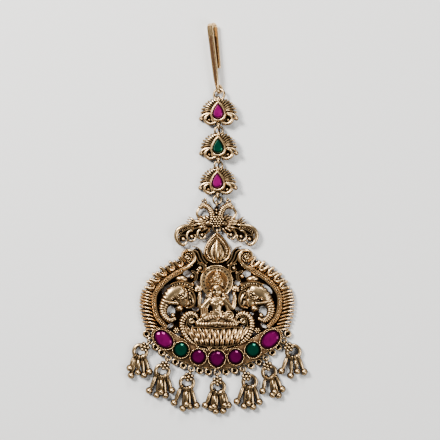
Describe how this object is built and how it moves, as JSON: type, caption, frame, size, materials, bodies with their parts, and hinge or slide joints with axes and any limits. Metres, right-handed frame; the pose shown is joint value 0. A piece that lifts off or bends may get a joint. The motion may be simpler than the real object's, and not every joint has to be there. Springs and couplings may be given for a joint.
{
  "type": "maang tikka",
  "caption": "Cast antique-gold head ornament, lying face up: a pierced relief pendant with set stones and ball-ended drops, hung by stone-set links from a hair hook.",
  "frame": {"origin": "on the flat back of the pendant, behind the seated figure's waist; the back lies on the surface", "axes": "+Y from the pendant to the hair hook, +X to the right seen from the front, +Z out of the front face"},
  "size_m": [0.0594, 0.1285, 0.0047],
  "materials": {
    "antique_gold": "antique gold plate on cast metal, satin on the raised edges and dark in the recesses",
    "hook_metal": "gold plate, polished",
    "ruby_glass": "deep pink-red faceted glass, closed back",
    "emerald_glass": "deep green faceted glass, closed back"
  },
  "bodies": {
    "root": {"drop_1_bells": "antique_gold", "drop_1_connector": "antique_gold", "drop_1_ring": "antique_gold", "drop_2_bells": "antique_gold", "drop_2_connector": "antique_gold", "drop_2_ring": "antique_gold", "drop_3_bells": "antique_gold", "drop_3_connector": "antique_gold", "drop_3_ring": "antique_gold", "drop_4_bells": "antique_gold", "drop_4_connector": "antique_gold", "drop_4_ring": "antique_gold", "drop_5_bells": "antique_gold", "drop_5_connector": "antique_gold", "drop_5_ring": "antique_gold", "drop_6_bells": "antique_gold", "drop_6_connector": "antique_gold", "drop_6_ring": "antique_gold", "drop_7_bells": "antique_gold", "drop_7_connector": "antique_gold", "drop_7_ring": "antique_gold", "emerald_left": "emerald_glass", "emerald_right": "emerald_glass", "hair_hook": "hook_metal", "hook_ring": "antique_gold", "link_1": "antique_gold", "link_1_ring": "antique_gold", "link_1_stone": "ruby_glass", "link_2": "antique_gold", "link_2_ring": "antique_gold", "link_2_stone": "emerald_glass", "link_3": "antique_gold", "link_3_ring": "antique_gold", "link_3_stone": "ruby_glass", "oval_ruby_left": "ruby_glass", "oval_ruby_right": "ruby_glass", "peacock_pair": "antique_gold", "pendant": "antique_gold", "pendant_ring": "antique_gold", "ruby_centre": "ruby_glass", "ruby_left": "ruby_glass", "ruby_right": "ruby_glass"}
  },
  "joints": []
}
